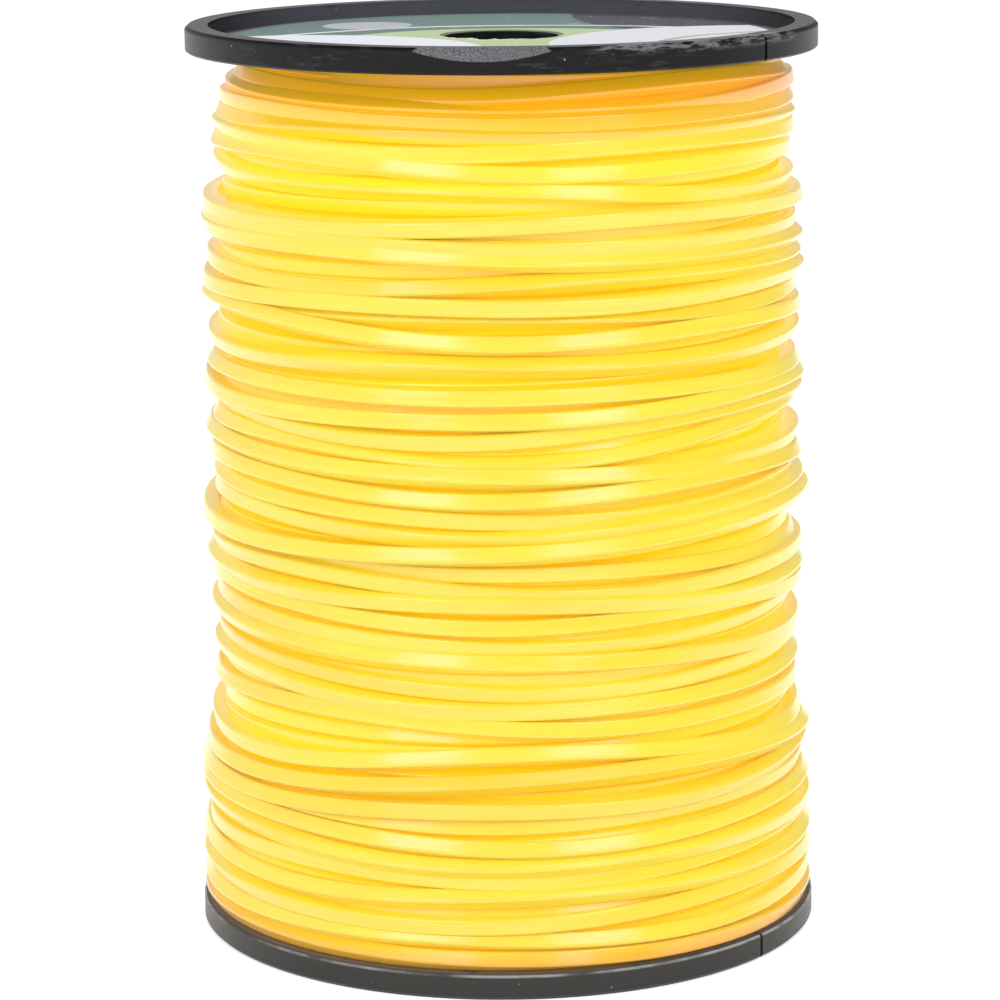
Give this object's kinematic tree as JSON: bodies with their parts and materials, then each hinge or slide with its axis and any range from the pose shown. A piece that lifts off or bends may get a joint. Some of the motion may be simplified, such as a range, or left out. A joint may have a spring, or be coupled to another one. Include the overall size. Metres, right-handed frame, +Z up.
{
  "type": "spool of trimmer line",
  "caption": "Black moulded spool full of yellow square trimmer line, with a round printed paper label in its upper flange.",
  "frame": {"origin": "centre of the lower rim's foot, on the spool's axis", "axes": "+Z up the spool's axis, -Y towards the worn flat at the front"},
  "size_m": [0.11, 0.11, 0.16],
  "materials": {
    "spool_plastic": "black moulded plastic, scuffed at the rims",
    "line_nylon": "clear yellow drawn nylon",
    "label_paper": "printed paper"
  },
  "bodies": {
    "root": {"spool": "spool_plastic", "wound_line": "line_nylon", "label": "label_paper"}
  },
  "joints": []
}
